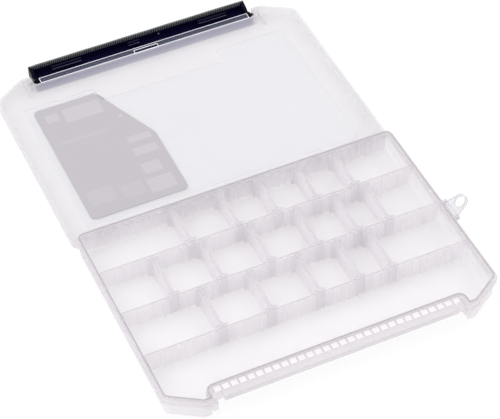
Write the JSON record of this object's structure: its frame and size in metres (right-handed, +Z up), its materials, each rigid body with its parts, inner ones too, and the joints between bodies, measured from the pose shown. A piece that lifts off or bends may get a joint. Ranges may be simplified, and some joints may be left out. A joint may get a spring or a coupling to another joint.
{
  "type": "fishing tackle box",
  "caption": "Flat hinged tackle case: frosted tray with slotted rows and lift-out dividers, clear lid with blank label card, full-width clip latch and pivoting side hanging loop.",
  "frame": {"origin": "centre of the base tray's underside", "axes": "+Z up, +X along the hinge to the right seen from the front, +Y from the front of the tray to the hinge and on to the opened lid"},
  "size_m": [0.2165, 0.2998, 0.0202],
  "materials": {
    "frosted_shell": "milky translucent moulded polypropylene, satin outside",
    "divider_plastic": "milky translucent moulded polypropylene, satin",
    "clear_plastic": "clear smooth moulded plastic",
    "latch_plastic": "dark navy opaque moulded plastic, semi-gloss, with a finely ribbed grip",
    "card": "printed card, left plain"
  },
  "bodies": {
    "base": {"base_tray": "frosted_shell"},
    "lid": {"lid": "frosted_shell", "label_card": "card"},
    "latch": {"latch": "latch_plastic"},
    "loop": {"hang_loop": "clear_plastic"},
    "divider_rear_1": {"divider_rear_1": "divider_plastic"},
    "divider_rear_2": {"divider_rear_2": "divider_plastic"},
    "divider_rear_3": {"divider_rear_3": "divider_plastic"},
    "divider_rear_4": {"divider_rear_4": "divider_plastic"},
    "divider_rear_5": {"divider_rear_5": "divider_plastic"},
    "divider_middle_1": {"divider_middle_1": "divider_plastic"},
    "divider_middle_2": {"divider_middle_2": "divider_plastic"},
    "divider_middle_3": {"divider_middle_3": "divider_plastic"},
    "divider_middle_4": {"divider_middle_4": "divider_plastic"},
    "divider_middle_5": {"divider_middle_5": "divider_plastic"},
    "divider_middle_6": {"divider_middle_6": "divider_plastic"},
    "divider_near_1": {"divider_near_1": "divider_plastic"},
    "divider_near_2": {"divider_near_2": "divider_plastic"},
    "divider_near_3": {"divider_near_3": "divider_plastic"},
    "divider_near_4": {"divider_near_4": "divider_plastic"},
    "divider_near_5": {"divider_near_5": "divider_plastic"}
  },
  "joints": [
    {"name": "lid_hinge", "type": "hinge", "parent": "base", "child": "lid", "pos_m": [0, 0.073, 0.011], "axis": [-1, 0, 0], "range_deg": [-180, 0]},
    {"name": "latch_pivot", "type": "hinge", "parent": "lid", "child": "latch", "pos_m": [0, 0.2153, 0.005], "axis": [-1, 0, 0], "range_deg": [-90, 0]},
    {"name": "loop_pivot", "type": "hinge", "parent": "base", "child": "loop", "pos_m": [0.1042, -0.0015, 0.0125], "axis": [0, -1, 0], "range_deg": [-127, 53]},
    {"name": "divider_rear_1_lift", "type": "slide", "parent": "base", "child": "divider_rear_1", "axis": [0, 0, 1], "range_m": [0, 0.018]},
    {"name": "divider_rear_2_lift", "type": "slide", "parent": "base", "child": "divider_rear_2", "axis": [0, 0, 1], "range_m": [0, 0.018]},
    {"name": "divider_rear_3_lift", "type": "slide", "parent": "base", "child": "divider_rear_3", "axis": [0, 0, 1], "range_m": [0, 0.018]},
    {"name": "divider_rear_4_lift", "type": "slide", "parent": "base", "child": "divider_rear_4", "axis": [0, 0, 1], "range_m": [0, 0.018]},
    {"name": "divider_rear_5_lift", "type": "slide", "parent": "base", "child": "divider_rear_5", "axis": [0, 0, 1], "range_m": [0, 0.018]},
    {"name": "divider_middle_1_lift", "type": "slide", "parent": "base", "child": "divider_middle_1", "axis": [0, 0, 1], "range_m": [0, 0.018]},
    {"name": "divider_middle_2_lift", "type": "slide", "parent": "base", "child": "divider_middle_2", "axis": [0, 0, 1], "range_m": [0, 0.018]},
    {"name": "divider_middle_3_lift", "type": "slide", "parent": "base", "child": "divider_middle_3", "axis": [0, 0, 1], "range_m": [0, 0.018]},
    {"name": "divider_middle_4_lift", "type": "slide", "parent": "base", "child": "divider_middle_4", "axis": [0, 0, 1], "range_m": [0, 0.018]},
    {"name": "divider_middle_5_lift", "type": "slide", "parent": "base", "child": "divider_middle_5", "axis": [0, 0, 1], "range_m": [0, 0.018]},
    {"name": "divider_middle_6_lift", "type": "slide", "parent": "base", "child": "divider_middle_6", "axis": [0, 0, 1], "range_m": [0, 0.018]},
    {"name": "divider_near_1_lift", "type": "slide", "parent": "base", "child": "divider_near_1", "axis": [0, 0, 1], "range_m": [0, 0.018]},
    {"name": "divider_near_2_lift", "type": "slide", "parent": "base", "child": "divider_near_2", "axis": [0, 0, 1], "range_m": [0, 0.018]},
    {"name": "divider_near_3_lift", "type": "slide", "parent": "base", "child": "divider_near_3", "axis": [0, 0, 1], "range_m": [0, 0.018]},
    {"name": "divider_near_4_lift", "type": "slide", "parent": "base", "child": "divider_near_4", "axis": [0, 0, 1], "range_m": [0, 0.018]},
    {"name": "divider_near_5_lift", "type": "slide", "parent": "base", "child": "divider_near_5", "axis": [0, 0, 1], "range_m": [0, 0.018]}
  ]
}
